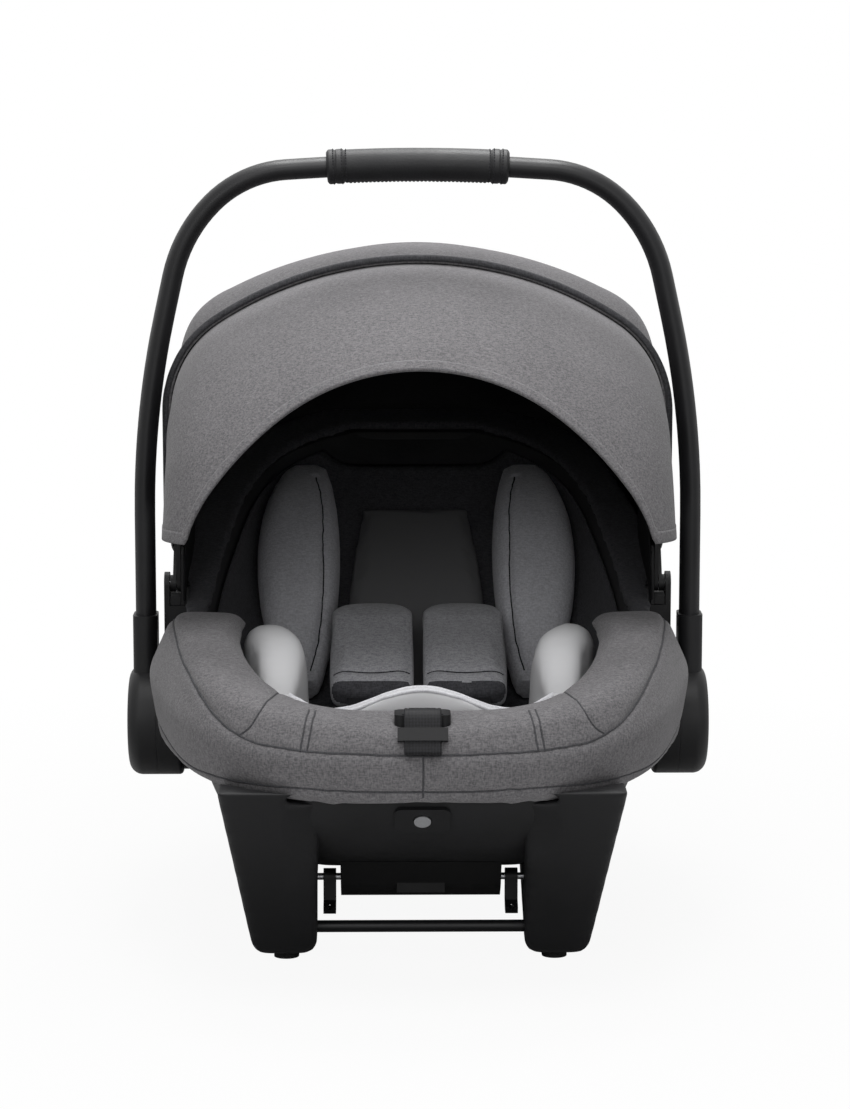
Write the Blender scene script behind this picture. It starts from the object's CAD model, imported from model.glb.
"""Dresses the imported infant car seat: padded cloth, canopy, straps, finishes, light and camera."""
import logging
from collections.abc import Callable
from dataclasses import dataclass, field
from enum import Enum
from math import acos, asin, atan2, cos, degrees, exp, pi, radians, sin, sqrt

import bmesh
import bpy
import numpy as np
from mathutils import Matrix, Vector, kdtree, noise
from mathutils.bvhtree import BVHTree


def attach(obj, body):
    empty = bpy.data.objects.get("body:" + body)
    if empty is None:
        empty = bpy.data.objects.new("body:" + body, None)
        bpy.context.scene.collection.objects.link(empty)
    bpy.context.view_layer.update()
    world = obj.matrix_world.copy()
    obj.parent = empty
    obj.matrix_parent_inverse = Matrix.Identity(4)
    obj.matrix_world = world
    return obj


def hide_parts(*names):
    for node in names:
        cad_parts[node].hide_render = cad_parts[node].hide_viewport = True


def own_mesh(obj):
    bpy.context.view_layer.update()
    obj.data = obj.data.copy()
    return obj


MM = 0.001
SIDES = ((-1, "left"), (1, "right"))
LOG = logging.getLogger("infant_seat")
Point = tuple[float, float, float]
Flat = tuple[float, float]
Colour = tuple[int, int, int]
Grids = tuple[list[list[Vector]], list[list[Vector]]]
Socket = bpy.types.NodeSocket
Object = bpy.types.Object

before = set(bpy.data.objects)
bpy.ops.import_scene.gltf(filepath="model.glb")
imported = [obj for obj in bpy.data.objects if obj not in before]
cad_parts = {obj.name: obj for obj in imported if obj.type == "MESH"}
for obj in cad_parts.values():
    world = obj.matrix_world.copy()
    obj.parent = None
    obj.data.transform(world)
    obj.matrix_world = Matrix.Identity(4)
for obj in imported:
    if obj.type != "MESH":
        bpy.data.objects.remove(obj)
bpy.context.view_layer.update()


class Body(Enum):
    """Bodies that a dressed piece can ride on."""

    SHELL = "shell"
    HANDLE = "handle"
    CANOPY_FRONT = "canopy_front"
    CANOPY_MID = "canopy_mid"


class Coat(Enum):
    """Kinds of surface that a finish can be made of."""

    CLOTH = "cloth"
    WEBBING = "webbing"
    PLASTIC = "plastic"
    LEATHER = "leather"
    METAL = "metal"


def linear(colour: Colour) -> tuple[float, ...]:
    """Linear colour of a display colour given in 0 to 255."""
    return (*(((c / 255 + 0.055) / 1.055) ** 2.4 if c > 10 else c / 255 / 12.92 for c in colour), 1.0)


def clamped(value: float) -> float:
    """A value kept between 0 and 1."""
    return min(1.0, max(0.0, value))


def eased(value: float) -> float:
    """A value kept between 0 and 1, with a soft start and end."""
    share = clamped(value)
    return share * share * (3 - 2 * share)


class Nodes:
    """Adds nodes to a shader tree."""

    def __init__(self, tree: bpy.types.NodeTree) -> None:
        """Takes the tree to work on."""
        self.tree = tree

    def feed(self, socket: Socket, value: object) -> None:
        """Links an input to a socket, or sets the input's own value."""
        if isinstance(value, Socket):
            self.tree.links.new(value, socket)
        else:
            socket.default_value = value

    def add(self, kind: str, feeds: dict | None = None, **settings: object) -> bpy.types.Node:
        """A new node.

        Args:
            kind: The node's type.
            feeds: A socket or a value for each input, by its name or number.
            **settings: The node's properties.

        Returns:
            The node.
        """
        node = self.tree.nodes.new(kind)
        for key, value in settings.items():
            setattr(node, key, value)
        for place, value in (feeds or {}).items():
            self.feed(node.inputs[place], value)
        return node

    def math(self, operation: str, first: object, second: object = 0.0) -> Socket:
        """Math of two sockets or numbers."""
        return self.add("ShaderNodeMath", {0: first, 1: second}, operation=operation).outputs[0]

    def scaled(self, value: Socket, factor: float, rest: object) -> Socket:
        """A value times a factor, plus the rest."""
        return self.math("ADD", self.math("MULTIPLY", value, factor), rest)

    def noise(self, place: Socket, scale: object, detail: float = 2.0) -> Socket:
        """A noise value at a place."""
        return self.add("ShaderNodeTexNoise", {"Vector": place, "Scale": scale, "Detail": detail}).outputs["Fac"]

    def spread(self, value: Socket, low: float, high: float) -> Socket:
        """A value spread between two limits and clamped."""
        return self.add("ShaderNodeMapRange", {"Value": value, "From Min": low, "From Max": high}).outputs["Result"]


def heathered_yarn(nodes: Nodes, place: Socket, given: object) -> tuple[Socket, Socket, Socket]:
    """Heathered yarn: two directions of mixed fibres and a raised stitch."""
    runs = []
    for stretch in ((0.3, 0.55, 1.0), (1.0, 0.9, 0.28)):
        way = nodes.add("ShaderNodeVectorMath", {0: place, 1: stretch}, operation="MULTIPLY").outputs[0]
        runs.append(nodes.noise(way, given["Yarn"]))
    fibres = nodes.spread(nodes.math("ADD", *runs), 0.74, 1.26)
    cloud = nodes.spread(nodes.noise(place, 14.0, 3.0), 0.3, 0.7)
    shade = nodes.scaled(fibres, 0.86, nodes.math("MULTIPLY", cloud, 0.14))
    size = nodes.math("MULTIPLY", given["Yarn"], 1.5)
    stitch = nodes.add("ShaderNodeTexVoronoi", {"Vector": place, "Scale": size}, feature="F1")
    height = nodes.math("SUBTRACT", fibres, stitch.outputs["Distance"])
    return shade, height, nodes.scaled(fibres, 0.12, 0.8)


def woven_webbing(nodes: Nodes, place: Socket, given: object) -> tuple[Socket, Socket, Socket]:
    """Woven webbing: ribs along the strap crossed by picks."""
    split = nodes.add("ShaderNodeSeparateXYZ", {0: place}).outputs
    waves = []
    for run, turns in ((split["X"], 6.2832), (nodes.math("ADD", split["Y"], split["Z"]), 4.2)):
        pitch = nodes.math("MULTIPLY", given["Yarn"], turns)
        waves.append(nodes.math("SINE", nodes.math("MULTIPLY", run, pitch)))
    weave = nodes.scaled(waves[0], 0.3, nodes.math("MULTIPLY", waves[1], 0.2))
    shade = nodes.spread(nodes.math("ADD", weave, nodes.noise(place, 900.0)), 0.1, 0.95)
    return shade, shade, nodes.scaled(shade, 0.15, 0.55)


def moulded_grain(nodes: Nodes, place: Socket, given: object) -> tuple[Socket, Socket, Socket]:
    """Fine grain of a moulded or coated skin with faint handling marks."""
    cell = nodes.add("ShaderNodeTexVoronoi", {"Vector": place, "Scale": given["Yarn"]}, feature="SMOOTH_F1")
    cloud = nodes.spread(nodes.noise(place, 26.0, 4.0), 0.3, 0.75)
    shade = nodes.scaled(cloud, 0.6, nodes.math("MULTIPLY", nodes.noise(place, 700.0), 0.4))
    return shade, cell.outputs["Distance"], nodes.scaled(cloud, 0.14, given["Smooth"])


EFFECTS = {
    Coat.CLOTH: heathered_yarn,
    Coat.WEBBING: woven_webbing,
    Coat.PLASTIC: moulded_grain,
    Coat.LEATHER: moulded_grain,
    Coat.METAL: moulded_grain,
}
SPECULAR = {Coat.CLOTH: 0.12, Coat.WEBBING: 0.2, Coat.PLASTIC: 0.28, Coat.LEATHER: 0.28, Coat.METAL: 0.5}
SHEEN_ROUGHNESS = 0.5
BUMP_STRENGTH = 0.5


def effect_group(draw: Callable) -> bpy.types.NodeTree:
    """The shader node group that all finishes of one kind share, made on first use.

    Args:
        draw: Draws the effect with a tree's nodes, from the place on the surface and the group's
            inputs, and gives the share of the lighter colour, the height and the roughness.

    Returns:
        The group.
    """
    found = bpy.data.node_groups.get(draw.__name__)
    if found:
        return found
    tree = bpy.data.node_groups.new(draw.__name__, "ShaderNodeTree")
    inputs = ("Dark", "Light", "Yarn") + (("Smooth",) if draw is moulded_grain else ())
    for labels, way in ((inputs, "INPUT"), (("Colour", "Height", "Roughness"), "OUTPUT")):
        for label in labels:
            kind = "NodeSocketColor" if label in ("Dark", "Light", "Colour") else "NodeSocketFloat"
            tree.interface.new_socket(label, in_out=way, socket_type=kind)
    nodes = Nodes(tree)
    given = nodes.add("NodeGroupInput").outputs
    shade, height, rough = draw(nodes, nodes.add("ShaderNodeTexCoord").outputs["Object"], given)
    mix = nodes.add("ShaderNodeMix", {0: shade, 6: given["Dark"], 7: given["Light"]}, data_type="RGBA")
    nodes.add("NodeGroupOutput", {"Colour": mix.outputs[2], "Height": height, "Roughness": rough})
    return tree


@dataclass(frozen=True)
class Finish:
    """A surface finish: its coat, two mixed colours and the size of its texture.

    Attributes:
        name: The material's name.
        coat: The kind of surface.
        dark: Darker display colour of the mix.
        light: Lighter display colour of the mix.
        yarn: Yarns, ribs or grains per metre.
        bump: Height of the texture, in millimetres.
        smooth: Lowest roughness of a moulded skin.
        sheen: Strength of the cloth's sheen.
        metal: How metallic the surface is.
    """

    name: str
    coat: Coat
    dark: Colour
    light: Colour
    yarn: float = 520.0
    bump: float = 0.25
    smooth: float = 0.4
    sheen: float = 0.0
    metal: float = 0.0

    def material(self) -> bpy.types.Material:
        """The finish as a material, made on first use."""
        found = bpy.data.materials.get(self.name)
        if found:
            return found
        made = bpy.data.materials.new(self.name)
        made.use_nodes = True
        nodes = Nodes(made.node_tree)
        effect = nodes.add("ShaderNodeGroup", node_tree=effect_group(EFFECTS[self.coat]))
        given = {"Dark": linear(self.dark), "Light": linear(self.light), "Yarn": self.yarn, "Smooth": self.smooth}
        for socket in effect.inputs:
            socket.default_value = given[socket.name]
        bump = nodes.add(
            "ShaderNodeBump",
            {"Strength": BUMP_STRENGTH, "Distance": self.bump * MM, "Height": effect.outputs["Height"]},
        )
        values = {
            "Base Color": effect.outputs["Colour"],
            "Roughness": effect.outputs["Roughness"],
            "Normal": bump.outputs["Normal"],
            "Metallic": self.metal,
            "Sheen Weight": self.sheen,
            "Sheen Roughness": SHEEN_ROUGHNESS,
            "Specular IOR Level": SPECULAR[self.coat],
        }
        shader = made.node_tree.nodes["Principled BSDF"].inputs
        for label, value in values.items():
            nodes.feed(shader[label], value)
        return made


MELANGE = Finish("melange_cloth", Coat.CLOTH, (89, 88, 90), (132, 130, 132), 1050.0, 0.2, sheen=0.12)
LIGHT_CLOTH = Finish("light_cloth", Coat.CLOTH, (212, 212, 216), (240, 240, 244), 1000.0, 0.18, sheen=0.15)
PAD_CLOTH = Finish("pad_cloth", Coat.CLOTH, (138, 138, 142), (180, 180, 184), 900.0, 0.2, sheen=0.12)
HEAD_CLOTH = Finish("head_cloth", Coat.CLOTH, (172, 172, 177), (206, 206, 211), 900.0, 0.2, sheen=0.12)
CHARCOAL = Finish("charcoal_cloth", Coat.CLOTH, (84, 84, 88), (116, 116, 121), 900.0, 0.2, sheen=0.1)
LINING = Finish("lining_cloth", Coat.CLOTH, (56, 56, 59), (82, 82, 86), 900.0, 0.18, sheen=0.05)
HOOD_LINING = Finish("hood_lining_cloth", Coat.CLOTH, (10, 10, 11), (22, 22, 24), 900.0, 0.15)
PIPING = Finish("piping_cloth", Coat.CLOTH, (58, 58, 60), (88, 88, 91), 1100.0, 0.12, sheen=0.08)
PIPE_CLOTH = Finish("pipe_cloth", Coat.CLOTH, (206, 206, 210), (228, 228, 232), 1100.0, 0.1, sheen=0.1)
THREAD = Finish("sewing_thread", Coat.CLOTH, (34, 34, 36), (56, 56, 59), 1400.0, 0.08)
WEBBING = Finish("strap_webbing", Coat.WEBBING, (12, 12, 13), (40, 40, 43), 480.0, 0.2)
SHELL_SKIN = Finish("shell_plastic_skin", Coat.PLASTIC, (19, 19, 20), (29, 29, 31), 1500.0, 0.06, smooth=0.5)
DEEP_SKIN = Finish("underside_skin", Coat.PLASTIC, (6, 6, 7), (11, 11, 12), 1500.0, 0.05, smooth=0.6)
TRIM_SKIN = Finish("trim_plastic_skin", Coat.PLASTIC, (14, 14, 15), (23, 23, 25), 1700.0, 0.05, smooth=0.42)
TUBE_COAT = Finish("tube_powder_coat", Coat.PLASTIC, (18, 18, 19), (28, 28, 30), 2400.0, 0.03, smooth=0.38)
GRIP_HIDE = Finish("grip_leatherette", Coat.LEATHER, (18, 18, 19), (34, 34, 36), 720.0, 0.22, smooth=0.46)
RED_KEY = Finish("red_key", Coat.PLASTIC, (150, 22, 20), (188, 34, 30), 1500.0, 0.03, smooth=0.35)
STEEL = Finish("zinc_steel", Coat.METAL, (150, 151, 154), (200, 201, 204), 1200.0, 0.02, smooth=0.25, metal=1.0)
BLACK_STEEL = Finish("black_coated_steel", Coat.PLASTIC, (14, 14, 15), (26, 26, 28), 1800.0, 0.03, smooth=0.36)
FOAM_SKIN = Finish("bead_foam", Coat.PLASTIC, (30, 30, 31), (54, 54, 56), 260.0, 0.3, smooth=0.7)
RUBBER = Finish("foot_rubber", Coat.PLASTIC, (16, 16, 16), (26, 26, 26), 900.0, 0.06, smooth=0.66)

CAD_FINISHES = {
    SHELL_SKIN: ("shell_bucket", "hub_bosses"),
    DEEP_SKIN: ("belly_tray",),
    TRIM_SKIN: (
        "adjuster_bezel", "adjuster_button", "buckle_body", "buckle_tongues", "front_plate", "latch_hooks",
        "release_housing", "release_pull", "hub_inner_left", "hub_inner_right", "hub_cover_left",
        "hub_cover_right", "handle_button_left", "handle_button_right", "canopy_mounts",
        "canopy_front_bow", "canopy_mid_bow", "strap_slide",
    ),
    STEEL: ("harness_yoke", "base_screws", "latch_pins", "detent_plates", "pivot_bolts", "canopy_pins"),
    BLACK_STEEL: ("front_bar", "rear_bar"),
    RED_KEY: ("buckle_button",),
    TUBE_COAT: ("handle_tube",),
    FOAM_SKIN: ("foam_liner",),
    RUBBER: ("foot_pads",),
}


def mesh_object(name: str, verts: list, faces: list, finishes: list[Finish], smooth: bool = True) -> Object:
    """A new closed mesh in the scene, with its faces turned outwards.

    Args:
        name: Object name.
        verts: Corners, in metres.
        faces: Corner numbers of each face.
        finishes: One finish for each material place.
        smooth: Whether faces are shaded smooth.

    Returns:
        The object.
    """
    mesh = bpy.data.meshes.new(name)
    mesh.from_pydata([tuple(v) for v in verts], [], faces)
    mesh.validate()
    solid = bmesh.new()
    solid.from_mesh(mesh)
    if solid.calc_volume(signed=True) < 0:
        mesh.flip_normals()
    solid.free()
    for finish in finishes:
        mesh.materials.append(finish.material())
    if smooth:
        mesh.polygons.foreach_set("use_smooth", [True] * len(mesh.polygons))
    made = bpy.data.objects.new(name, mesh)
    bpy.context.scene.collection.objects.link(made)
    return made


def settle(piece: Object, body: Body, nodes: tuple[str, ...] = ()) -> Object:
    """Puts a piece on its body and the CAD nodes that it stands for."""
    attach(piece, body.value)
    if nodes:
        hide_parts(*nodes)
    LOG.info("%s rides on %s, %d faces", piece.name, body.value, len(piece.data.polygons))
    return piece


def applied(piece: Object) -> None:
    """Replaces a piece's mesh with what its modifiers make of it, and drops them."""
    graph = bpy.context.evaluated_depsgraph_get()
    mesh = bpy.data.meshes.new_from_object(piece.evaluated_get(graph), depsgraph=graph)
    piece.modifiers.clear()
    piece.data = mesh


def copied(node: str, name: str, finish: Finish) -> Object:
    """A new piece with a CAD node's shape and a finish."""
    piece = bpy.data.objects.new(name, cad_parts[node].data.copy())
    bpy.context.scene.collection.objects.link(piece)
    piece.data.materials.clear()
    piece.data.materials.append(finish.material())
    return piece


def softened(node: str, name: str, finish: Finish, voxel: float, passes: int) -> Object:
    """A new piece with a CAD node's shape, evenly meshed and with rounded edges.

    Args:
        node: The CAD node.
        name: The piece's name.
        finish: Its finish.
        voxel: Mesh size, in millimetres.
        passes: How often the surface is smoothed.

    Returns:
        The piece.
    """
    piece = copied(node, name, finish)
    even = piece.modifiers.new("even", "REMESH")
    even.mode = "VOXEL"
    even.voxel_size = voxel * MM
    even.use_smooth_shade = True
    relax = piece.modifiers.new("relax", "SMOOTH")
    relax.factor = 0.5
    relax.iterations = passes
    applied(piece)
    return piece


def rounded_path(points: list[Point], radius: float, step: float) -> list[Vector]:
    """A polyline with its corners rounded.

    Args:
        points: Corners, in millimetres.
        radius: Corner radius, in millimetres.
        step: Spacing of the points that come back.

    Returns:
        Points along the rounded line.
    """
    corners = [Vector(p) for p in points]
    line = [corners[0]]
    for here, before, after in zip(corners[1:-1], corners[:-2], corners[2:]):
        back = (before - here)
        ahead = (after - here)
        cut = min(radius, back.length * 0.49, ahead.length * 0.49)
        first = here + back.normalized() * cut
        last = here + ahead.normalized() * cut
        line += [first.lerp(here, t).lerp(here.lerp(last, t), t) for t in np.linspace(0, 1, 9)]
    line.append(corners[-1])
    return evenly(line, step)


def evenly(line: list[Vector], step: float) -> list[Vector]:
    """A line's points at an even spacing."""
    points = np.array([tuple(p) for p in line])
    lengths = np.concatenate([[0.0], np.cumsum(np.linalg.norm(np.diff(points, axis=0), axis=1))])
    keep = np.concatenate([[True], np.diff(lengths) > 1e-9])
    points, lengths = points[keep], lengths[keep]
    wanted = np.linspace(0, lengths[-1], max(2, int(round(lengths[-1] / step)) + 1))
    return [Vector([float(np.interp(w, lengths, points[:, k])) for k in range(3)]) for w in wanted]


def smooth_path(points: list[Point], step: float) -> list[Vector]:
    """A smooth line through points, in the same unit, at an even spacing."""
    marks = [Vector(p) for p in points]
    ends = [marks[0] * 2 - marks[1]] + marks + [marks[-1] * 2 - marks[-2]]
    line = []
    for a, b, c, d in zip(ends[:-3], ends[1:-2], ends[2:-1], ends[3:]):
        square, cube = 2 * a - 5 * b + 4 * c - d, 3 * b - a - 3 * c + d
        for t in np.linspace(0, 1, 16, endpoint=False):
            line.append(0.5 * (2 * b + (c - a) * t + square * t * t + cube * t ** 3))
    line.append(marks[-1])
    return evenly(line, step)


def tube_faces(rows: int, count: int, base: int = 0) -> list[tuple[int, ...]]:
    """Faces of a tube that is closed at both ends.

    Args:
        rows: How many rings of corners it has.
        count: How many corners a ring has.
        base: The number of its first corner.

    Returns:
        The faces between the rings, and the two ends.
    """
    last = base + (rows - 1) * count
    faces = []
    for ring in range(base, last, count):
        for k in range(count):
            n = (k + 1) % count
            faces.append((ring + k, ring + n, ring + count + n, ring + count + k))
    return faces + [tuple(reversed(range(base, base + count))), tuple(range(last, last + count))]


def sweep(path: list[Vector], section: list[Flat], side: Vector) -> list[Vector]:
    """The corners of a section that is carried along a path, in metres.

    Args:
        path: Points, in millimetres.
        section: Section points as (side, up) distances, in millimetres.
        side: The section's side direction.

    Returns:
        The corners, ring by ring.
    """
    verts = []
    for place, here in enumerate(path):
        ahead = (path[min(place + 1, len(path) - 1)] - path[max(place - 1, 0)]).normalized()
        across = (side - ahead * side.dot(ahead)).normalized()
        up = across.cross(ahead)
        verts += [(here + across * s + up * u) * MM for s, u in section]
    return verts


def round_section(radius: float, count: int) -> list[Flat]:
    """A round section."""
    return [(radius * cos(2 * pi * k / count), radius * sin(2 * pi * k / count)) for k in range(count)]


def flat_section(wide: float, thick: float) -> list[Flat]:
    """A flat strap section with rounded edges and a woven rib near each edge."""
    half, up = wide / 2, thick / 2
    edge = [(half, up * 0.3), (half - up * 0.5, up)]
    rib = [(half * 0.86, up * 1.05), (half * 0.8, up * 0.8), (half * 0.4, up * 0.9)]
    upper = edge + rib + [(-s, u) for s, u in reversed(edge + rib)]
    return upper + [(-s, -u) for s, u in upper]


def cords(name: str, lines: list[list[Vector]], radius: float, finish: Finish, sides: int = 8) -> Object:
    """Round welts or threads along lines, in millimetres, as one piece."""
    verts, faces = [], []
    for line in lines:
        faces += tube_faces(len(line), sides, len(verts))
        verts += sweep(line, round_section(radius, sides), Vector((0.31, 0.17, 0.93)))
    return mesh_object(name, verts, faces, [finish])


def closed_panel(
    name: str, outer: list[list[Vector]], inner: list[list[Vector]], finishes: list[Finish]
) -> Object:
    """A thin closed panel between two grids of points.

    Args:
        name: The piece's name.
        outer: Rows of points on the outer side, in metres.
        inner: The same rows on the inner side.
        finishes: The outer finish, and the inner one where it differs.

    Returns:
        The piece.
    """
    rows, count = len(outer), len(outer[0])
    verts = [p for row in outer for p in row] + [p for row in inner for p in row]
    shift = rows * count
    faces, places = [], []
    for i in range(rows - 1):
        for j in range(count - 1):
            a, b, c, d = i * count + j, i * count + j + 1, (i + 1) * count + j + 1, (i + 1) * count + j
            faces += [(a, b, c, d), (a + shift, d + shift, c + shift, b + shift)]
            places += [0, len(finishes) - 1]
    edge = list(range(count))
    edge += [i * count + count - 1 for i in range(1, rows)]
    edge += [(rows - 1) * count + j for j in range(count - 2, -1, -1)]
    edge += [i * count for i in range(rows - 2, 0, -1)]
    for a, b in zip(edge, edge[1:] + edge[:1]):
        faces.append((b, a, a + shift, b + shift))
        places.append(0)
    piece = mesh_object(name, verts, faces, finishes)
    piece.data.polygons.foreach_set("material_index", places)
    return piece


def slab(name: str, side: int, outline: list[Flat], span: Flat, edge: float, finish: Finish) -> Object:
    """A flat moulding across X with softened edges, in millimetres.

    Args:
        name: The piece's name.
        side: -1 for the left of the seat, 1 for the right.
        outline: Its outline as (Y, Z).
        span: Its inner and outer X.
        edge: How far its edges are softened.
        finish: Its finish.

    Returns:
        The piece.
    """
    middle = Vector((sum(p[0] for p in outline) / len(outline), sum(p[1] for p in outline) / len(outline)))
    verts = []
    for x, inset in ((span[0], edge), (span[0] + edge, 0.0), (span[1] - edge, 0.0), (span[1], edge)):
        for point in outline:
            out = Vector(point) - middle
            out = out * (1.0 - inset / out.length) + middle
            verts.append(Vector((side * x, out.x, out.y)) * MM)
    return mesh_object(name, verts, tube_faces(4, len(outline)), [finish], smooth=False)


def stitches(name: str, lines: list[tuple[Vector, Vector]], radius: float, finish: Finish) -> Object:
    """Many short threads as one piece, each a tapered six-sided bar between two points in millimetres."""
    verts, faces = [], []
    taper = ((0.0, 0.45), (0.25, 1.0), (0.75, 1.0), (1.0, 0.45))
    ring = round_section(1.0, 6)
    for first, last in lines:
        ahead = (last - first).normalized()
        across = ahead.orthogonal().normalized()
        up = ahead.cross(across)
        faces += tube_faces(len(taper), len(ring), len(verts))
        for share, size in taper:
            middle = first.lerp(last, share)
            verts += [(middle + (across * s + up * u) * radius * size) * MM for s, u in ring]
    return mesh_object(name, verts, faces, [finish])


class Surface:
    """A mesh's surface, which lines can be laid on and sewn into."""

    def __init__(self, piece: Object) -> None:
        """Takes the piece to work on."""
        self.piece = piece
        self.tree = BVHTree.FromPolygons(
            [v.co.copy() for v in piece.data.vertices], [tuple(p.vertices) for p in piece.data.polygons]
        )

    def laid(self, marks: list, step: float = 1.5) -> list[Vector]:
        """A smooth line through marks, in millimetres, laid on the surface."""
        line = [self.tree.find_nearest(point * MM)[0] / MM for point in smooth_path(marks, step)]
        for _ in range(4):
            inner = [(a + b * 2 + c) / 4 for a, b, c in zip(line[:-2], line[1:-1], line[2:])]
            line = line[:1] + inner + line[-1:]
        return line

    def sew(self, lines: list[list[Vector]], depth: float, wide: float) -> None:
        """Draws the surface in along lines.

        Args:
            lines: Lines on the surface, in millimetres.
            depth: Depth of the seam, in millimetres.
            wide: Half width of the drawn-in strip, in millimetres.
        """
        marks = [p for line in lines for p in line]
        lookup = kdtree.KDTree(len(marks))
        for number, point in enumerate(marks):
            lookup.insert(point * MM, number)
        lookup.balance()
        mesh = self.piece.data
        for vertex, normal in zip(mesh.vertices, [v.normal.copy() for v in mesh.vertices]):
            away = lookup.find(vertex.co)[2] / MM
            if away < wide * 3:
                vertex.co -= normal * (depth * MM * exp(-((away / wide) ** 2)))
        mesh.update()


def seamed(piece: Object, seams: list[list[Point]], depth: float, wide: float) -> list[list[Vector]]:
    """Sews seams into a padded piece.

    Args:
        piece: The piece.
        seams: Marks of each seam, in millimetres.
        depth: Depth of the seams, in millimetres.
        wide: Half width of the drawn-in strips, in millimetres.

    Returns:
        The lines of the threads, on the sewn surface.
    """
    cover = Surface(piece)
    lines = [cover.laid(marks) for marks in seams]
    cover.sew(lines, depth, wide)
    sewn = Surface(piece)
    return [sewn.laid(line[::4] + line[-1:]) for line in lines]


@dataclass
class Cushion:
    """One padded piece, blown up from the space that its CAD solid holds.

    Attributes:
        node: The CAD node that it stands for.
        name: The piece's name.
        finish: Its cloth.
        slot: The record's slot.
        voxel: Mesh size, in millimetres.
        shrink: How far it starts inside its space, in millimetres.
        swell: The furthest that a point may move, in millimetres.
        fill: How tightly it is stuffed.
        piece: The object, once it is cut.
        start: Its corners before the pressure, in metres.
    """

    node: str
    name: str
    finish: Finish
    slot: str
    voxel: float = 4.5
    shrink: float = 2.0
    swell: float = 3.4
    fill: float = 0.6
    piece: Object = None
    start: np.ndarray = None

    @classmethod
    def pair(cls, node: str, name: str, *rest: object) -> list["Cushion"]:
        """The left and the right cushion of a pair, with the values that they share."""
        return [cls(f"{node}_{word}", f"{name}_{word}", *rest) for _, word in SIDES]

    def cut(self) -> None:
        """Makes the even mesh that is blown up."""
        self.piece = softened(self.node, self.name, self.finish, self.voxel, 3)
        data = self.piece.data
        for vertex, normal in zip(data.vertices, [v.normal.copy() for v in data.vertices]):
            vertex.co -= normal * self.shrink * MM
        data.update()
        self.start = np.empty(len(data.vertices) * 3)
        data.vertices.foreach_get("co", self.start)

    def pump(self) -> None:
        """Adds the cloth that the pressure blows up."""
        cloth = self.piece.modifiers.new("pump", "CLOTH").settings
        cloth.quality = 4
        cloth.mass = 0.25
        cloth.tension_stiffness = 8
        cloth.compression_stiffness = 8
        cloth.bending_stiffness = 0.3
        cloth.use_pressure = True
        cloth.uniform_pressure_force = 4.0
        cloth.effector_weights.gravity = 0.0

    def finish_off(self) -> None:
        """Keeps the blown-up shape within its cap, and refines it."""
        if self.piece.modifiers:
            graph = bpy.context.evaluated_depsgraph_get()
            blown = self.piece.evaluated_get(graph).to_mesh()
            ends = np.empty(len(self.start))
            blown.vertices.foreach_get("co", ends)
            self.piece.modifiers.clear()
            move = (ends - self.start).reshape(-1, 3)
            length = np.maximum(np.linalg.norm(move, axis=1), 1e-9)
            limit = np.minimum(1.0, self.swell * MM / length)
            capped = self.start.reshape(-1, 3) + move * limit[:, None]
            self.piece.data.vertices.foreach_set("co", capped.ravel())
            self.piece.data.update()
        self.piece.modifiers.new("refine", "SUBSURF").levels = 1
        applied(self.piece)
        settle(self.piece, Body.SHELL, (self.node,))


def blow_up(cushions: list[Cushion], frames: int = 20) -> None:
    """Blows up all cushions in one run of the cloth solver."""
    scene = bpy.context.scene
    for cushion in cushions:
        cushion.cut()
    for cushion in cushions:
        cushion.pump()
    for number in range(1, frames + 1):
        scene.frame_set(number)
    for cushion in cushions:
        cushion.finish_off()
    scene.frame_set(1)


def mirrored(points: list[Point]) -> list[Point]:
    """Points on the other side of the seat."""
    return [(-x, y, z) for x, y, z in points]


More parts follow.
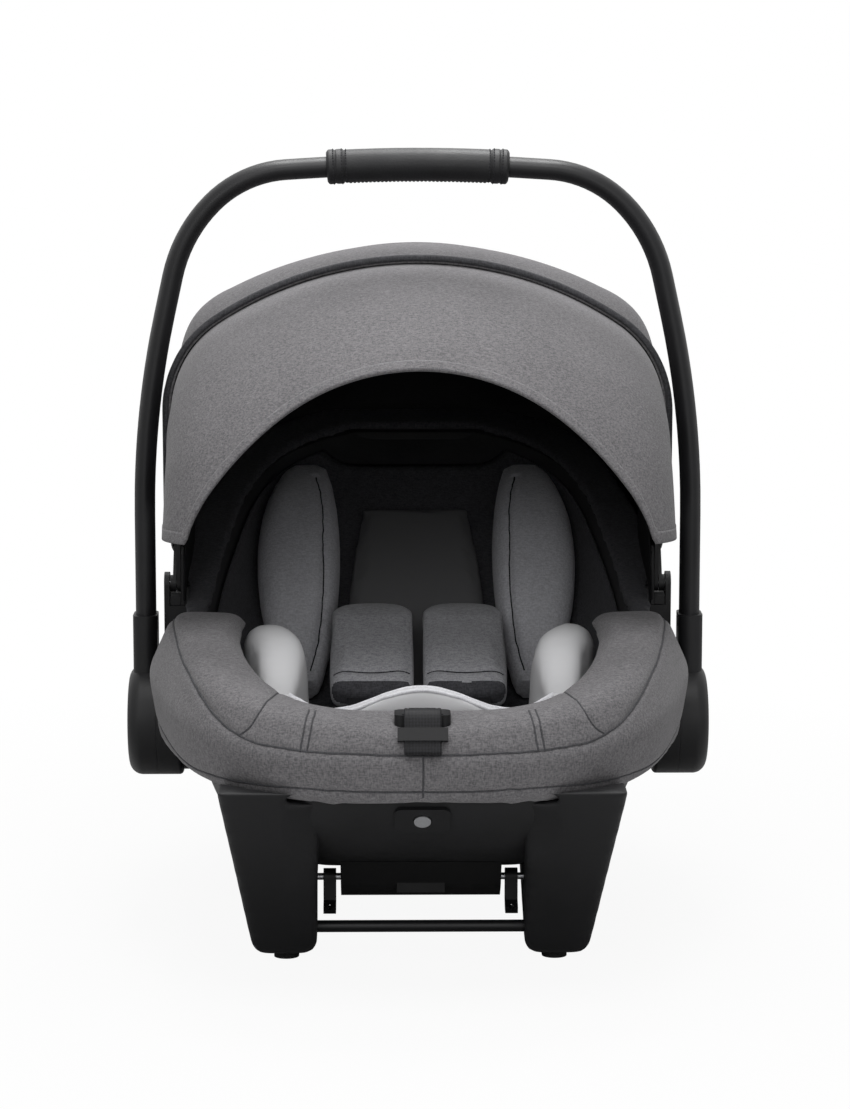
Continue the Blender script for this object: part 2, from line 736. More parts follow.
@dataclass
class Bumper:
    """The padded roll round the foot end, with its seams, in millimetres.

    Attributes:
        cushion: The padded cover.
        seam_depth: Depth of a seam.
        seam_half: Half width of the strip that a seam draws in.
        thread: Radius of a seam's thread.
        dent_half: Half width of the dent under the adjuster's button.
        dent_y: First and last Y of the dent.
        dent_z: Height of the dent.
        top_z: Height above which the cover's top side lies there.
    """

    cushion: Cushion = field(
        default_factory=lambda: Cushion("front_bumper", "bumper_cover", MELANGE, "grey_melange", 4.0, 1.5, 2.6, 0.8)
    )
    seam_depth: float = 1.5
    seam_half: float = 2.6
    thread: float = 0.75
    dent_half: float = 13.0
    dent_y: Flat = (-293.0, -278.0)
    dent_z: float = 190.8
    top_z: float = 186.0

    def seams(self) -> list[list[Point]]:
        """Marks of every seam of the cover."""
        top = [
            (184.0, -56.0, 234.0), (181.0, -105.0, 232.0), (171.0, -166.0, 220.0), (159.0, -215.0, 210.0),
            (149.5, -242.0, 200.5), (137.0, -266.0, 190.5), (125.0, -281.0, 185.0), (110.0, -293.0, 181.0),
            (77.0, -308.0, 179.0), (40.0, -314.0, 178.0),
        ]
        hem = [
            (192.0, -75.0, 166.0), (188.0, -125.0, 158.0), (172.0, -198.0, 151.0), (157.0, -231.0, 150.5),
            (142.0, -258.0, 150.5), (114.0, -287.0, 151.0), (73.0, -306.5, 151.5),
        ]
        corner = [(98.0, -236.0, 207.0), (108.0, -276.0, 203.0), (118.0, -284.0, 190.0), (125.0, -281.0, 185.0)]
        rib = [(72.0, -281.0, 204.5), (75.0, -299.0, 194.0), (78.0, -308.0, 179.0)]
        twin = [(x + 4.6, y + 0.6, z) for x, y, z in rib]
        join = [(0.0, -315.5, 177.0), (0.0, -314.5, 160.0), (0.0, -310.0, 146.0)]
        round_end = ((top, join[0]), (hem, (0.0, -312.2, 151.2)))
        marks = [line + [centre] + mirrored(line)[::-1] for line, centre in round_end]
        for line in (corner, rib, twin):
            marks += [line, mirrored(line)]
        return marks + [join]

    def dress(self) -> None:
        """Dents the cover under the button, sews its seams and lays their threads."""
        cover = self.cushion.piece
        for vertex in cover.data.vertices:
            x, y, z = vertex.co / MM
            if abs(x) < self.dent_half and self.dent_y[0] < y < self.dent_y[1] and z > self.top_z:
                vertex.co.z = min(z, self.dent_z) * MM
        cover.data.update()
        threads = seamed(cover, self.seams(), self.seam_depth, self.seam_half)
        settle(cords("bumper_seams", threads, self.thread, PIPING, 6), Body.SHELL)


@dataclass
class Insert:
    """The baby insert: back pad, seat pad, head rolls and light side rolls, in millimetres.

    Attributes:
        cushions: The padded pieces.
        roll_lean: How far a side roll's head end leans out.
        hem_y: Y below which a shoulder pad is hemmed in dark cloth.
        lip_lift: How far the front lip's crest is lifted.
        pad_round: How far a shoulder pad's upper corners are drawn in.
        roll_seam: Marks of the right head roll's seam.
        pad_hem: Marks of the right shoulder pad's hem.
    """

    cushions: list[Cushion] = field(
        default_factory=lambda: [
            Cushion("back_pad", "back_cushion", CHARCOAL, "charcoal_cloth"),
            Cushion("seat_pad", "seat_cushion", CHARCOAL, "charcoal_cloth", 5.0),
            *Cushion.pair("head_bolster", "head_roll", HEAD_CLOTH, "charcoal_cloth"),
            *Cushion.pair("insert_bolster", "side_roll", LIGHT_CLOTH, "light_cloth"),
            Cushion("insert_front", "insert_lip", LIGHT_CLOTH, "light_cloth", 3.2, 0.8, 1.2),
            *Cushion.pair("shoulder_pad", "harness_pad", PAD_CLOTH, "mid_cloth", 3.6, 1.0, 2.0),
            Cushion("rim_trim", "rim_binding", LINING, "dark_cloth", 2.8, 0.6, 1.0, 0.5),
        ]
    )
    roll_lean: float = 11.0
    hem_y: float = -57.0
    lip_lift: float = 7.0
    pad_round: float = 20.0
    roll_seam: tuple[Point, ...] = (
        (82.0, 200.0, 300.0), (76.0, 165.0, 287.0), (74.0, 114.0, 254.0),
        (74.0, 79.0, 219.0), (77.0, 57.0, 191.0), (84.0, 46.0, 168.0),
    )
    pad_hem: tuple[Point, ...] = ((66.0, -44.0, 184.0), (35.0, -49.0, 184.0), (5.0, -44.0, 185.0))

    def lean(self, roll: Object, side: int) -> None:
        """Leans a side roll's head end out against the bumper's wing."""
        for vertex in roll.data.vertices:
            back = eased((vertex.co.y / MM + 130.0) / 80.0)
            up = eased((vertex.co.z / MM - 140.0) / 70.0)
            vertex.co.x += side * self.roll_lean * MM * back * up
        roll.data.update()

    def round_end(self, pad: Object) -> None:
        """Draws a shoulder pad's upper end in to an arch."""
        spots = np.array([v.co for v in pad.data.vertices]) / MM
        low, high = spots.min(axis=0), spots.max(axis=0)
        upper = spots[spots[:, 1] > high[1] - 20.0].mean(axis=0)
        lower = spots[spots[:, 1] < low[1] + 20.0].mean(axis=0)
        along = Vector(upper - lower).normalized()
        reach = self.pad_round * 3.0
        for vertex, spot in zip(pad.data.vertices, spots):
            out = min(1.0, abs(2.0 * spot[0] - low[0] - high[0]) / (high[0] - low[0]))
            end = clamped((spot[1] - high[1] + reach) / reach)
            vertex.co -= along * (self.pad_round * MM * (0.35 + 0.65 * out ** 3) * end * end)
        pad.data.update()

    def lip_piping(self, lip: Object) -> None:
        """Lifts the crest of the insert's front lip and lays two welts along it."""
        for vertex in lip.data.vertices:
            high = clamped((vertex.co.z / MM - 176.0) / 24.0)
            vertex.co.z += self.lip_lift * MM * high * exp(-((vertex.co.x / MM / 46.0) ** 2))
        lip.data.update()
        crest = []
        for x in np.linspace(-92.0, 92.0, 24):
            near = [v.co for v in lip.data.vertices if abs(v.co.x / MM - x) < 4.0]
            top = max(near, key=lambda p: p.z)
            crest.append((float(x), top.y / MM, top.z / MM))
        cloth = Surface(lip)
        lines = [cloth.laid([(x, y + shift, z) for x, y, z in crest]) for shift in (-5.5, 4.0)]
        settle(cords("lip_piping", lines, 1.5, PIPE_CLOTH), Body.SHELL)

    def dress(self) -> None:
        """Sews the cushions' seams, hems and welts."""
        pieces = {cushion.name: cushion.piece for cushion in self.cushions}
        threads = []
        for side, word in SIDES:
            self.lean(pieces["side_roll_" + word], side)
            self.round_end(pieces["harness_pad_" + word])
            for name, marks, depth in (("head_roll_", self.roll_seam, 2.0), ("harness_pad_", self.pad_hem, 1.2)):
                seam = list(marks) if side > 0 else mirrored(marks)
                threads += seamed(pieces[name + word], [seam], depth, 3.0)
            pad = pieces["harness_pad_" + word].data
            pad.materials.append(LINING.material())
            pad.polygons.foreach_set("material_index", [int(p.center.y / MM < self.hem_y) for p in pad.polygons])
        settle(cords("insert_seams", threads, 0.6, THREAD, 6), Body.SHELL)
        self.lip_piping(pieces["insert_lip"])


def rim_height(y: float) -> float:
    """Height of the shell's rim line at a place along the seat, in millimetres."""
    return float(np.interp(y, (-420.0, -240.0, -110.0, 0.0, 420.0), (186.0, 190.0, 218.0, 228.0, 386.0)))


@dataclass
class Lining:
    """The dark cloth laid over the foam inside the shell, in millimetres.

    Attributes:
        front: Its first Y.
        back: Its last Y.
        rows: How many rows of points lie along it.
        columns: How many points lie in a row.
        thick: Its thickness.
        spread: How far it reaches up each side, in degrees from straight down.
        below: How far its rows' centres lie below the rim.
    """

    front: float = -254.0
    back: float = 256.0
    rows: int = 110
    columns: int = 96
    thick: float = 1.6
    spread: float = 87.0
    below: float = 3.0

    def build(self) -> None:
        """Lays the cloth on the inner face of its CAD solid."""
        tree = Surface(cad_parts["seat_lining"]).tree
        turns = np.radians(np.linspace(-self.spread, self.spread, self.columns))
        rays = [Vector((sin(a), 0.0, -cos(a))) for a in turns]
        outer, inner = [], []
        for y in np.linspace(self.front, self.back, self.rows):
            eye = Vector((0.0, y, rim_height(y) - self.below)) * MM
            hits = [tree.ray_cast(eye, ray) for ray in rays]
            known = [k for k, hit in enumerate(hits) if hit[0]]
            reach = np.interp(range(len(rays)), known, [hits[k][3] for k in known])
            inner.append([eye + ray * float(r) for ray, r in zip(rays, reach)])
            outer.append([eye + ray * (float(r) + self.thick * MM) for ray, r in zip(rays, reach)])
        piece = closed_panel("inner_lining", inner, outer, [LINING])
        settle(piece, Body.SHELL, ("seat_lining",))


@dataclass
class Straps:
    """Harness webbing, in millimetres."""

    thick: float = 1.6
    wide: float = 38.0
    hip_wide: float = 26.0
    hip_half: float = 19.0
    shoulder_x: float = 35.0
    pull_wide: float = 25.0
    pull_thick: float = 2.0

    def lay(self, name: str, path: list[Vector], section: list[Flat], side: Vector, *nodes: str) -> None:
        """Lays a strap along a path.

        Args:
            name: The strap's name.
            path: Points, in millimetres.
            section: Its section.
            side: The direction of its width.
            *nodes: The CAD nodes that it stands for.
        """
        verts = sweep(path, section, side)
        strap = mesh_object(name, verts, tube_faces(len(path), len(section)), [WEBBING])
        settle(strap, Body.SHELL, nodes)

    def build(self) -> None:
        """Makes every strap that shows."""
        webbing = flat_section(self.wide, self.thick)
        shoulder = [(118.0, 201.0), (97.0, 213.0), (30.0, 210.0), (-60.0, 166.0), (-96.0, 165.5)]
        for (side, word), nodes in zip(SIDES, ((), ("shoulder_straps",))):
            path = rounded_path([(side * self.shoulder_x, y, z) for y, z in shoulder], 10.0, 3.0)
            self.lay("shoulder_strap_" + word, path, webbing, Vector((1, 0, 0)), *nodes)
        pull = [(0.0, -297.0, 190.5), (0.0, -297.0, 206.5), (0.0, -309.0, 205.0), (0.0, -321.0, 179.0)]
        section = flat_section(self.pull_wide, self.pull_thick)
        self.lay("adjuster_pull", rounded_path(pull, 4.0, 3.0), section, Vector((1, 0, 0)), "adjuster_strap")
        section = flat_section(self.hip_wide, self.thick)
        for (side, word), nodes in zip(SIDES, ((), ("hip_straps",))):
            middle = Vector((side * 63.7, -82.0, 140.0))
            along = Vector((side * 0.36, 0.5, -0.787)).normalized()
            face = Vector((side * 0.7, -0.714, -0.133)).normalized()
            path = [middle + along * run for run in np.linspace(-self.hip_half, self.hip_half, 14)]
            self.lay("hip_strap_" + word, path, section, face.cross(along), *nodes)
        crotch = rounded_path([(0.0, -137.0, 90.0), (0.0, -135.2, 98.0), (0.0, -131.0, 105.6)], 6.0, 3.0)
        self.lay("crotch_webbing", crotch, webbing, Vector((1, 0, 0)), "crotch_strap")


@dataclass
class Arch:
    """One hoop line of the canopy: straight sides, two corners and a crown, in millimetres."""

    half: float
    rise: float
    shoulder: float = 133.0
    corner: float = 80.0
    foot: float = 46.0

    def points(self, count: int, inset: float = 0.0) -> list[tuple[float, float]]:
        """Evenly spaced points as (X, distance from the pivot axis).

        Args:
            count: How many points.
            inset: How far inside the line they lie.

        Returns:
            The points from the right foot over the crown to the left foot.
        """
        run = self.half - self.corner
        up = self.rise - self.shoulder
        crown = (run ** 2 + up ** 2 - self.corner ** 2) / (2 * (up - self.corner))
        middle = self.rise - crown
        turn = atan2(self.shoulder - middle, run)
        side = self.shoulder - self.foot
        bend = self.corner * turn
        top = crown * (pi - 2 * turn)
        total = 2 * side + 2 * bend + top
        line = []
        for place in np.linspace(0, total, count):
            mirror = place > total / 2
            s = total - place if mirror else place
            if s <= side:
                x, r = self.half - inset, self.foot + s
            elif s <= side + bend:
                a = (s - side) / self.corner
                x, r = run + (self.corner - inset) * cos(a), self.shoulder + (self.corner - inset) * sin(a)
            else:
                a = turn + (s - side - bend) / crown
                x, r = (crown - inset) * cos(a), middle + (crown - inset) * sin(a)
            line.append((-x if mirror else x, r))
        return line


@dataclass
class Canopy:
    """The hood: a fixed rear dome and two folding panels, in millimetres and degrees.

    Attributes:
        pivot_y: Y of the axis that the hoops fold about.
        pivot_z: Z of that axis.
        cloth: Thickness of the cloth.
        across: How many points lie along a hoop.
        along: How many rows a panel has.
        coats: The outer and the inner finish.
        front: The front panel's hoop line.
        front_end: Angle at which the front panel ends under the middle one.
        brow_y: Y of the middle of the opening's edge.
        brow_half: Half width over which that edge bows.
        brow_drop: How far it bows.
        tip_lift: Height of the low edge above the axis.
        tip_round: How much higher the low edge is at its foremost tip.
        tip_steep: The steepest angle of the low edge.
        tip_soft: Angle over which the two edges run into each other.
        flap_columns: How many points lie along a skirt or a tuck.
    """

    pivot_y: float = 20.0
    pivot_z: float = 242.0
    cloth: float = 1.8
    across: int = 168
    along: int = 44
    coats: list[Finish] = field(default_factory=lambda: [MELANGE, HOOD_LINING])
    front: Arch = field(default_factory=lambda: Arch(187.0, 245.0))
    front_end: float = 91.5
    brow_y: float = -146.0
    brow_half: float = 230.0
    brow_drop: float = 36.0
    tip_lift: float = 53.0
    tip_round: float = 12.0
    tip_steep: float = 76.0
    tip_soft: float = 27.0
    flap_columns: int = 48

    def place(self, x: float, r: float, angle: float) -> Vector:
        """The point at a distance from the pivot axis and an angle from forward, in metres."""
        a = radians(angle)
        return Vector((x, self.pivot_y - r * cos(a), self.pivot_z + r * sin(a))) * MM

    def puffed(self, arch: Arch, inset: float, puff: float) -> list[Flat]:
        """An arch's points with its two corners pushed out by a puff, in millimetres."""
        line = []
        for (x, r), (far_x, far_r) in zip(arch.points(self.across, inset), arch.points(self.across, inset - 1.0)):
            push = puff * sin(pi * clamped((far_r - r - 0.42) / 0.56))
            line.append((x + (far_x - x) * push, r + (far_r - r) * push))
        return line

    def hoops(self, marks: list[tuple[float, Arch]], cloth: float, puff: Point) -> Grids:
        """Grids of a panel lofted through hoops.

        Args:
            marks: Angle and arch of each hoop.
            cloth: Thickness of the panel.
            puff: How far its corners puff out, and the two angles between which they are fullest.

        Returns:
            The outer and the inner grid.
        """
        angles = np.array([angle for angle, _ in marks])
        values = np.array([[arch.half, arch.rise, arch.shoulder, arch.corner] for _, arch in marks])
        size, first, last = puff
        outer, inner = [], []
        for t in np.linspace(0, 1, self.along):
            angle = angles[0] + (angles[-1] - angles[0]) * t
            weights = [np.prod([(angle - b) / (a - b) for b in angles if b != a]) for a in angles]
            arch = Arch(*(float(v) for v in np.dot(weights, values)))
            near = (angles[-1] - angle) / (angles[-1] - last)
            if angle < first:
                near = (angle - angles[0]) / (first - angles[0])
            swell = size * sin(pi / 2 * clamped(near))
            for grid, inset in ((outer, 0.0), (inner, cloth)):
                grid.append([self.place(x, r, angle) for x, r in self.puffed(arch, inset, swell)])
        return outer, inner

    def flap(self, side: int, rows: int, span: Flat, spot: Callable[[float, float], Flat], step: Flat) -> Grids:
        """Grids of a thin flap of cloth along the rim.

        Args:
            side: -1 for the left of the seat, 1 for the right.
            rows: How many rows of points it has from its low edge up.
            span: Its first and last Y.
            spot: Gives X and Z of its outer side at a share of the way up and a Y.
            step: How far its inner side lies off the outer one in X and Z.

        Returns:
            The outer and the inner grid.
        """
        outer, inner = [], []
        for t in np.linspace(0, 1, rows):
            line = [(y, *spot(t, y)) for y in np.linspace(*span, self.flap_columns)]
            outer.append([Vector((side * x, y, z)) * MM for y, x, z in line])
            inner.append([Vector((side * (x + step[0]), y, z + step[1])) * MM for y, x, z in line])
        return outer, inner

    def skirt_spot(self, t: float, y: float) -> Flat:
        """X and Z on the dark inner skirt that closes the hood's side over the rim."""
        share = (y + 16.0) / 138.0
        tall = sin(pi * share) ** 0.7 if share < 0.5 else 1.0 - (2.0 * share - 1.0) ** 4
        wave = sin(7.0 * share + 2.0 * t)
        return 176.6 + wave + 0.4 * t, rim_height(y) + 7.3 + (1.5 + 66.0 * tall) * t

    def tuck_spot(self, t: float, y: float) -> Flat:
        """X and Z on the dark hem that is tucked from the hood's low edge under the rim."""
        rim = Vector((181.0 - 0.0356 * (y - 95.0) ** 1.4, rim_height(y) + 3.0))
        edge_x = 179.0 - 0.00218 * max(0.0, y - 150.0) ** 2.07
        edge = Vector((edge_x, self.pivot_z + 4.0 + 0.268 * (y - self.pivot_y)))
        spot = rim.lerp(edge, t)
        return spot.x, spot.y - 1.2 * sin(pi * t)

    def pivot_parts(self, side: int, word: str) -> None:
        """Makes the tower inside a bow arm, the stop under its pivot and the foot inside the tower."""
        tower = [
            (11.0, 226.4), (29.0, 226.4), (29.0, 266.0), (26.5, 271.5), (20.0, 274.0), (13.5, 271.5), (11.0, 266.0),
        ]
        stop = [(12.5, 226.4), (27.5, 226.4), (27.5, 233.0), (25.0, 235.2), (15.0, 235.2), (12.5, 233.0)]
        foot = [(12.0, 226.4), (28.0, 226.4), (28.0, 240.0), (26.0, 241.6), (14.0, 241.6), (12.0, 240.0)]
        for name, outline, span, edge in (
            ("pivot_tower_", tower, (178.3, 181.0), 0.6),
            ("pivot_stop_", stop, (181.2, 189.6), 0.3),
            ("pivot_foot_", foot, (174.6, 178.1), 0.4),
        ):
            settle(slab(name + word, side, outline, span, edge, TRIM_SKIN), Body.SHELL)

    def low_angle(self, x: float, r: float) -> float:
        """The angle at which the front panel's opening edge crosses a hoop point."""
        radius = (self.brow_half ** 2 + self.brow_drop ** 2) / (2 * self.brow_drop)
        edge = self.brow_y - (radius - sqrt(radius ** 2 - x ** 2))
        brow = degrees(acos(max(-1.0, min(1.0, (self.pivot_y - edge) / r))))
        lift = self.tip_lift + self.tip_round * clamped((152.0 - r) / 60.0) ** 2
        side = min(self.tip_steep, degrees(asin(min(1.0, lift / r))))
        near = max(0.0, 1.0 - abs(brow - side) / self.tip_soft)
        return max(brow, side) + near * near * self.tip_soft / 4

    def fall(self, x: float, angle: float) -> float:
        """How far the front panel's cloth sinks between its hoop and its opening edge."""
        broad = noise.noise(Vector((x * 0.011, angle * 0.06, 3.7)))
        fine = noise.noise(Vector((x * 0.03, angle * 0.12, 9.1)))
        return max(0.0, 0.9 + 0.9 * (broad + 0.5 * fine))

    def front_grids(self, low_gap: float, span: float, rise: float, depth: float) -> Grids:
        """Grids of the front cloth or of its hem.

        Args:
            low_gap: How far the strip starts outside the opening edge, in degrees.
            span: Width of the strip in millimetres, or 0 for the whole panel.
            rise: How far the outer side stands off the panel.
            depth: How far the inner side lies inside the panel.

        Returns:
            The outer and the inner grid.
        """
        base = self.front.points(self.across)
        end = self.front_end
        outer, inner = [], []
        for grid, inset in ((outer, -rise), (inner, depth)):
            line = self.front.points(self.across, inset)
            for t in np.linspace(0, 1, 6 if span else self.along):
                row = []
                for (x, r), (base_x, base_r) in zip(line, base):
                    low = self.low_angle(base_x, base_r) - low_gap
                    high = min(end, low + degrees(span / base_r)) if span else end
                    angle = low + (high - low) * t
                    sink = self.fall(base_x, angle) * sin(pi * min(1.0, (end - angle) / (end - low)))
                    row.append(self.place(x - sink * (x / self.front.rise), r - sink * 0.8, angle))
                grid.append(row)
        return outer, inner

    def build(self) -> None:
        """Makes the three panels with their hem and piping, the skirts, the tucks and the pivots' mouldings."""
        hoops = [
            (88.0, Arch(189.4, 247.4, 133.0, 82.4)),
            (107.0, Arch(189.4, 268.0, 147.0, 96.0)),
            (126.5, Arch(189.4, 288.0, 144.0, 124.0)),
        ]
        middle = closed_panel("canopy_middle", *self.hoops(hoops, self.cloth, (5.0, 104.0, 108.0)), self.coats)
        settle(middle, Body.CANOPY_MID, ("canopy_mid_panel",))
        front = closed_panel("canopy_front_cloth", *self.front_grids(0.0, 0.0, 0.0, self.cloth), self.coats)
        settle(front, Body.CANOPY_FRONT, ("canopy_front_panel",))
        hem = closed_panel("canopy_front_hem", *self.front_grids(0.25, 9.0, 0.45, self.cloth + 0.4), [MELANGE])
        settle(hem, Body.CANOPY_FRONT)
        welt = [self.place(x, r, 88.0) / MM for x, r in Arch(191.6, 249.6, 133.0, 84.6).points(self.across)]
        settle(cords("canopy_piping", [welt], 2.5, PIPING), Body.CANOPY_MID, ("canopy_binding",))
        hoops = [
            (118.0, Arch(191.3, 287.5, 147.5, 113.0)),
            (128.0, Arch(191.3, 296.0, 145.5, 128.0)),
            (138.0, Arch(191.3, 303.5, 145.0, 136.0)),
            (148.0, Arch(191.3, 310.0, 146.0, 142.0)),
            (158.0, Arch(188.3, 315.0, 148.0, 144.0)),
            (165.0, Arch(180.3, 317.0, 150.0, 142.0)),
        ]
        rear = closed_panel("canopy_rear", *self.hoops(hoops, 1.5, (7.5, 117.9, 138.0)), self.coats)
        settle(rear, Body.SHELL, ("canopy_rear_panel",))
        for side, word in SIDES:
            grids = self.flap(side, 14, (-16.0, 122.0), self.skirt_spot, (-1.2, 0.0))
            skirt = settle(closed_panel("hood_skirt_" + word, *grids, [HOOD_LINING]), Body.SHELL)
            self.pivot_parts(side, word)
            grids = self.flap(side, 6, (116.0, 236.0), self.tuck_spot, (0.0, -1.0))
            tuck = settle(closed_panel("hood_tuck_" + word, *grids, [HOOD_LINING]), Body.SHELL)


def dashes(line: list[Vector], gap: float) -> list[tuple[Vector, Vector]]:
    """The two ends of a stitch between each point of a line and the next, short of both by a share."""
    return [(a.lerp(b, gap), a.lerp(b, 1.0 - gap)) for a, b in zip(line[:-1], line[1:])]


@dataclass
class Grip:
    """The wrapped grip and its stitched cuffs on the handle's crown, in millimetres."""

    bow: float = 1200.0
    centre_z: float = -638.24
    half: float = 68.0
    cuff: float = 13.0
    radial: float = 13.0
    depth: float = 17.0
    stitch: float = 0.45
    fine: float = 16.0
    count: int = 72

    def swell(self, along: float, turn: float) -> float:
        """How the wrap's surface stands off: cuffs, grooves, rounded ends and a seam under the tube."""
        away = abs(along)
        inside = away < self.half - self.cuff
        body = -0.6 if inside else 0.0
        for groove in (self.half - self.cuff, self.half - self.cuff / 2):
            body -= 0.55 * exp(-(((away - groove) / 0.7) ** 2))
        body -= 2.2 * max(0.0, 1.0 - (self.half - away) / 2.2) ** 2
        body -= 0.9 * exp(-((abs(turn - pi) / 0.07) ** 2)) if inside else 0.0
        return body + 0.12 * noise.noise(Vector((along * 0.09, turn * 1.3, 1.0)))

    def spot(self, along: float, turn: float, off: float = 0.0) -> Vector:
        """A point on the wrap.

        Args:
            along: Distance from the middle of the grip.
            turn: Angle round the grip, in radians, from its top.
            off: How far the point stands off the surface.

        Returns:
            The point, in millimetres.
        """
        swell = self.swell(along, turn) + off
        lean = along / self.bow
        reach = self.bow + (self.radial + swell) * cos(turn)
        return Vector((reach * sin(lean), (self.depth + swell) * sin(turn), self.centre_z + reach * cos(lean)))

    def build(self) -> None:
        """Makes the wrap, its stitches and the seam under it."""
        edge = self.half - self.fine
        spans = ((-self.half, self.half, 150), (edge, self.half, 40), (-self.half, -edge, 40))
        runs = np.unique(np.concatenate([np.linspace(*span) for span in spans]))
        turns = [2 * pi * k / self.count for k in range(self.count)]
        verts = [self.spot(a, t) * MM for a in runs for t in turns]
        wrap = mesh_object("grip_wrap", verts, tube_faces(len(runs), self.count), [GRIP_HIDE])
        settle(wrap, Body.HANDLE, ("handle_grip", "grip_cuffs"))
        lines = []
        seam = self.half - self.cuff
        for side in (-1, 1):
            for away in (seam - 1.6, seam + 1.6, self.half - self.cuff / 2 + 1.5):
                ring = [self.spot(side * away, t, 0.1) for t in np.linspace(0, 2 * pi, 34, endpoint=False)]
                lines += dashes(ring + ring[:1], 0.16)
        for side in (-0.16, 0.16):
            lines += dashes([self.spot(a, pi + side, 0.1) for a in np.linspace(-edge, edge, 36)], 0.15)
        settle(stitches("grip_stitches", lines, self.stitch, THREAD), Body.HANDLE)


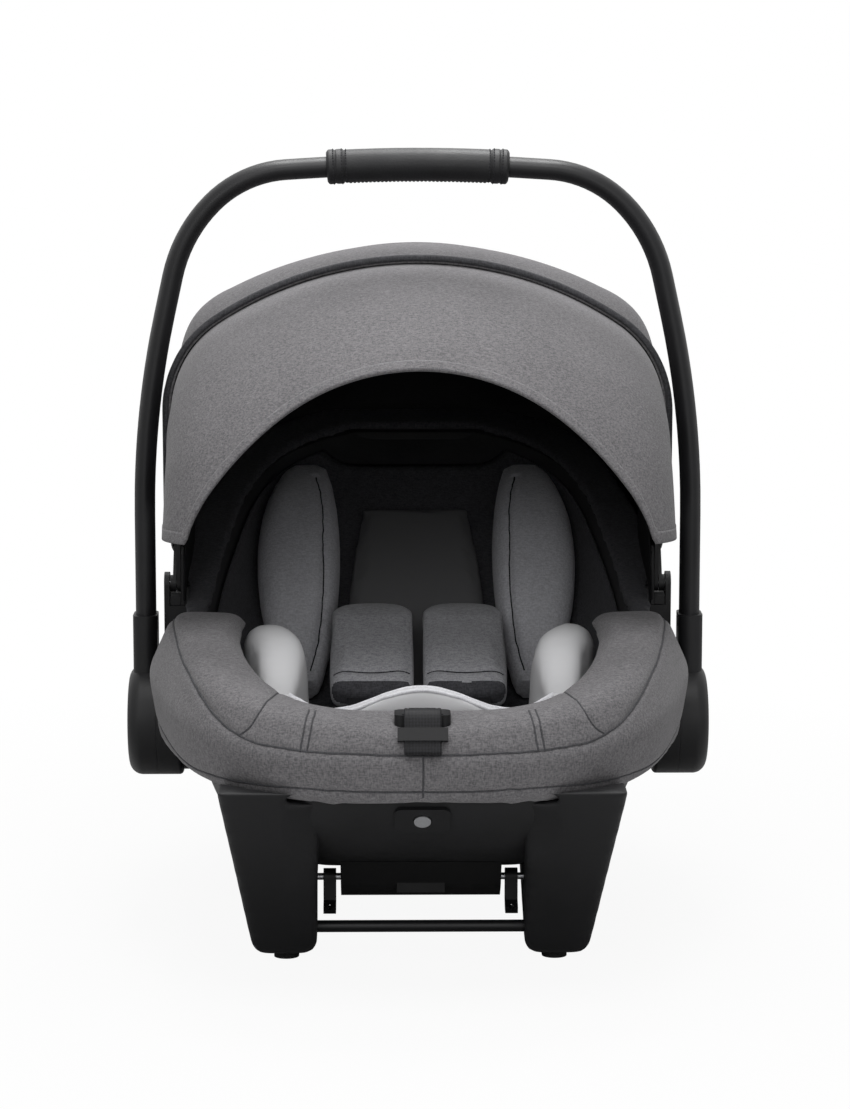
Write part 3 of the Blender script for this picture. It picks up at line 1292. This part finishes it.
@dataclass
class Studio:
    """Floor, light and camera.

    Attributes:
        lens: Focal length, in millimetres.
        distance: Distance of the camera, in millimetres.
        azimuth: The camera's angle round the seat, in degrees.
        elevation: Its angle above the floor, in degrees.
        centre: The point that it stands round, in millimetres.
        target: The point that it looks at, in millimetres.
        lit: The point that the lamps face, in metres.
        ambient: Strength of the surroundings as a light.
        lamps: Name, place, size in metres and power of each lamp.
    """

    lens: float = 106.8
    distance: float = 2500.0
    azimuth: float = -0.6
    elevation: float = 8.0
    centre: Point = (0.0, 0.0, 285.0)
    target: Point = (5.4, 0.0, 267.0)
    lit: Point = (0.0, 0.0, 0.28)
    ambient: float = 0.16
    lamps: tuple[tuple[str, Point, float, float], ...] = (
        ("key", (-0.4, -1.9, 1.3), 1.2, 9.0),
        ("fill", (0.7, -2.3, 0.7), 1.5, 5.0),
        ("top", (0.0, -0.65, 2.1), 1.0, 23.0),
        ("back", (0.0, 0.8, 2.0), 0.8, 28.0),
    )

    def build(self) -> None:
        """Makes the floor, the world, the lamps and the camera."""
        bpy.context.scene.view_settings.view_transform = "Standard"
        self.floor()
        self.world()
        for name, place, size, power in self.lamps:
            light = bpy.data.lights.new(name, "AREA")
            light.energy = power
            light.size = size
            self.aimed(name, light, Vector(place), Vector(self.lit))
        self.camera()

    def floor(self) -> None:
        """Makes the white paper under the seat, which fades into the surroundings."""
        paper = bpy.data.materials.new("floor_paper")
        paper.use_nodes = True
        tree = paper.node_tree
        nodes = Nodes(tree)
        shader = tree.nodes["Principled BSDF"]
        values = {"Base Color": (0.62, 0.62, 0.62, 1.0), "Roughness": 0.95, "Specular IOR Level": 0.1}
        for label, value in values.items():
            shader.inputs[label].default_value = value
        seen = nodes.add("ShaderNodeLightPath").outputs["Is Camera Ray"]
        place = nodes.add("ShaderNodeTexCoord").outputs["Object"]
        away = nodes.add("ShaderNodeVectorMath", {0: place}, operation="LENGTH").outputs["Value"]
        limits = {"From Min": 0.25, "From Max": 0.9, "To Min": 0.93, "To Max": 1.0}
        fade = nodes.add("ShaderNodeMapRange", {"Value": away, **limits}).outputs["Result"]
        share = nodes.math("MULTIPLY", seen, fade)
        glow = nodes.add("ShaderNodeEmission").outputs[0]
        mix = nodes.add("ShaderNodeMixShader", {0: share, 1: shader.outputs[0], 2: glow})
        nodes.feed(tree.nodes["Material Output"].inputs["Surface"], mix.outputs[0])
        mesh = bpy.data.meshes.new("floor")
        mesh.from_pydata([(-8, -8, 0), (8, -8, 0), (8, 8, 0), (-8, 8, 0)], [], [(0, 1, 2, 3)])
        mesh.materials.append(paper)
        floor = bpy.data.objects.new("floor", mesh)
        bpy.context.scene.collection.objects.link(floor)

    def world(self) -> None:
        """Makes the white surroundings, which are weaker as a light than as a backdrop."""
        world = bpy.data.worlds.new("studio")
        bpy.context.scene.world = world
        world.use_nodes = True
        nodes = Nodes(world.node_tree)
        path = nodes.add("ShaderNodeLightPath").outputs
        seen = nodes.math("MAXIMUM", path["Is Camera Ray"], path["Is Glossy Ray"])
        seen = nodes.math("MAXIMUM", seen, path["Is Transmission Ray"])
        strength = nodes.add("ShaderNodeMapRange", {"Value": seen, "To Min": self.ambient, "To Max": 1.0})
        back = world.node_tree.nodes["Background"].inputs
        nodes.feed(back["Strength"], strength.outputs["Result"])
        back["Color"].default_value = (1.0, 1.0, 1.0, 1.0)

    def aimed(self, name: str, data: bpy.types.ID, place: Vector, target: Vector) -> Object:
        """A lamp or a camera at a place, turned to a target, in metres."""
        holder = bpy.data.objects.new(name, data)
        holder.location = place
        holder.rotation_euler = (target - place).to_track_quat("-Z", "Y").to_euler()
        bpy.context.scene.collection.objects.link(holder)
        return holder

    def camera(self) -> None:
        """Makes the camera at the photograph's viewing angle."""
        data = bpy.data.cameras.new("camera")
        data.sensor_fit = "VERTICAL"
        data.sensor_height = 36.0
        data.lens = self.lens
        turn, lift = radians(self.azimuth), radians(self.elevation)
        off = Vector((sin(turn) * cos(lift), -cos(turn) * cos(lift), sin(lift))) * self.distance
        place = (Vector(self.centre) + off) * MM
        bpy.context.scene.camera = self.aimed("camera", data, place, Vector(self.target) * MM)


def bedded(piece: Object, base: Object, reach: float, depth: float) -> None:
    """Lets a moulding's thin edges run into the solid that it lies on.

    Args:
        piece: The moulding.
        base: The solid.
        reach: How far from the solid the moulding is drawn in, in millimetres.
        depth: How far it is drawn in where it touches, in millimetres.
    """
    tree = Surface(base).tree
    for vertex in piece.data.vertices:
        _, normal, _, away = tree.find_nearest(vertex.co)
        if away < reach * MM:
            vertex.co -= normal * (depth * MM * (1.0 - away / (reach * MM)))
    piece.data.update()


def dress_cad() -> None:
    """Gives every rigid CAD node that shows its finish, and makes the rails and springs anew."""
    for finish, nodes in CAD_FINISHES.items():
        for node in nodes:
            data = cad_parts[node].data
            data.materials.clear()
            data.materials.append(finish.material())
    for side, word in SIDES:
        rail = softened("rail_" + word, "base_rail_" + word, SHELL_SKIN, 2.4, 22)
        bedded(rail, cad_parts["shell_bucket"], 12.0, 8.0)
        settle(rail, Body.SHELL, ("rail_" + word,))
        spring = copied("button_spring_" + word, "press_spring_" + word, STEEL)
        settle(spring, Body.HANDLE, ("button_spring_" + word,))
        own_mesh(spring)


def main() -> None:
    """Builds the seat's dress in order."""
    logging.basicConfig(level=logging.INFO, format="%(message)s")
    dress_cad()
    bumper = Bumper()
    insert = Insert()
    blow_up([bumper.cushion] + insert.cushions)
    bumper.dress()
    insert.dress()
    Lining().build()
    Straps().build()
    Canopy().build()
    Grip().build()
    Studio().build()


if __name__ == "__main__":
    main()
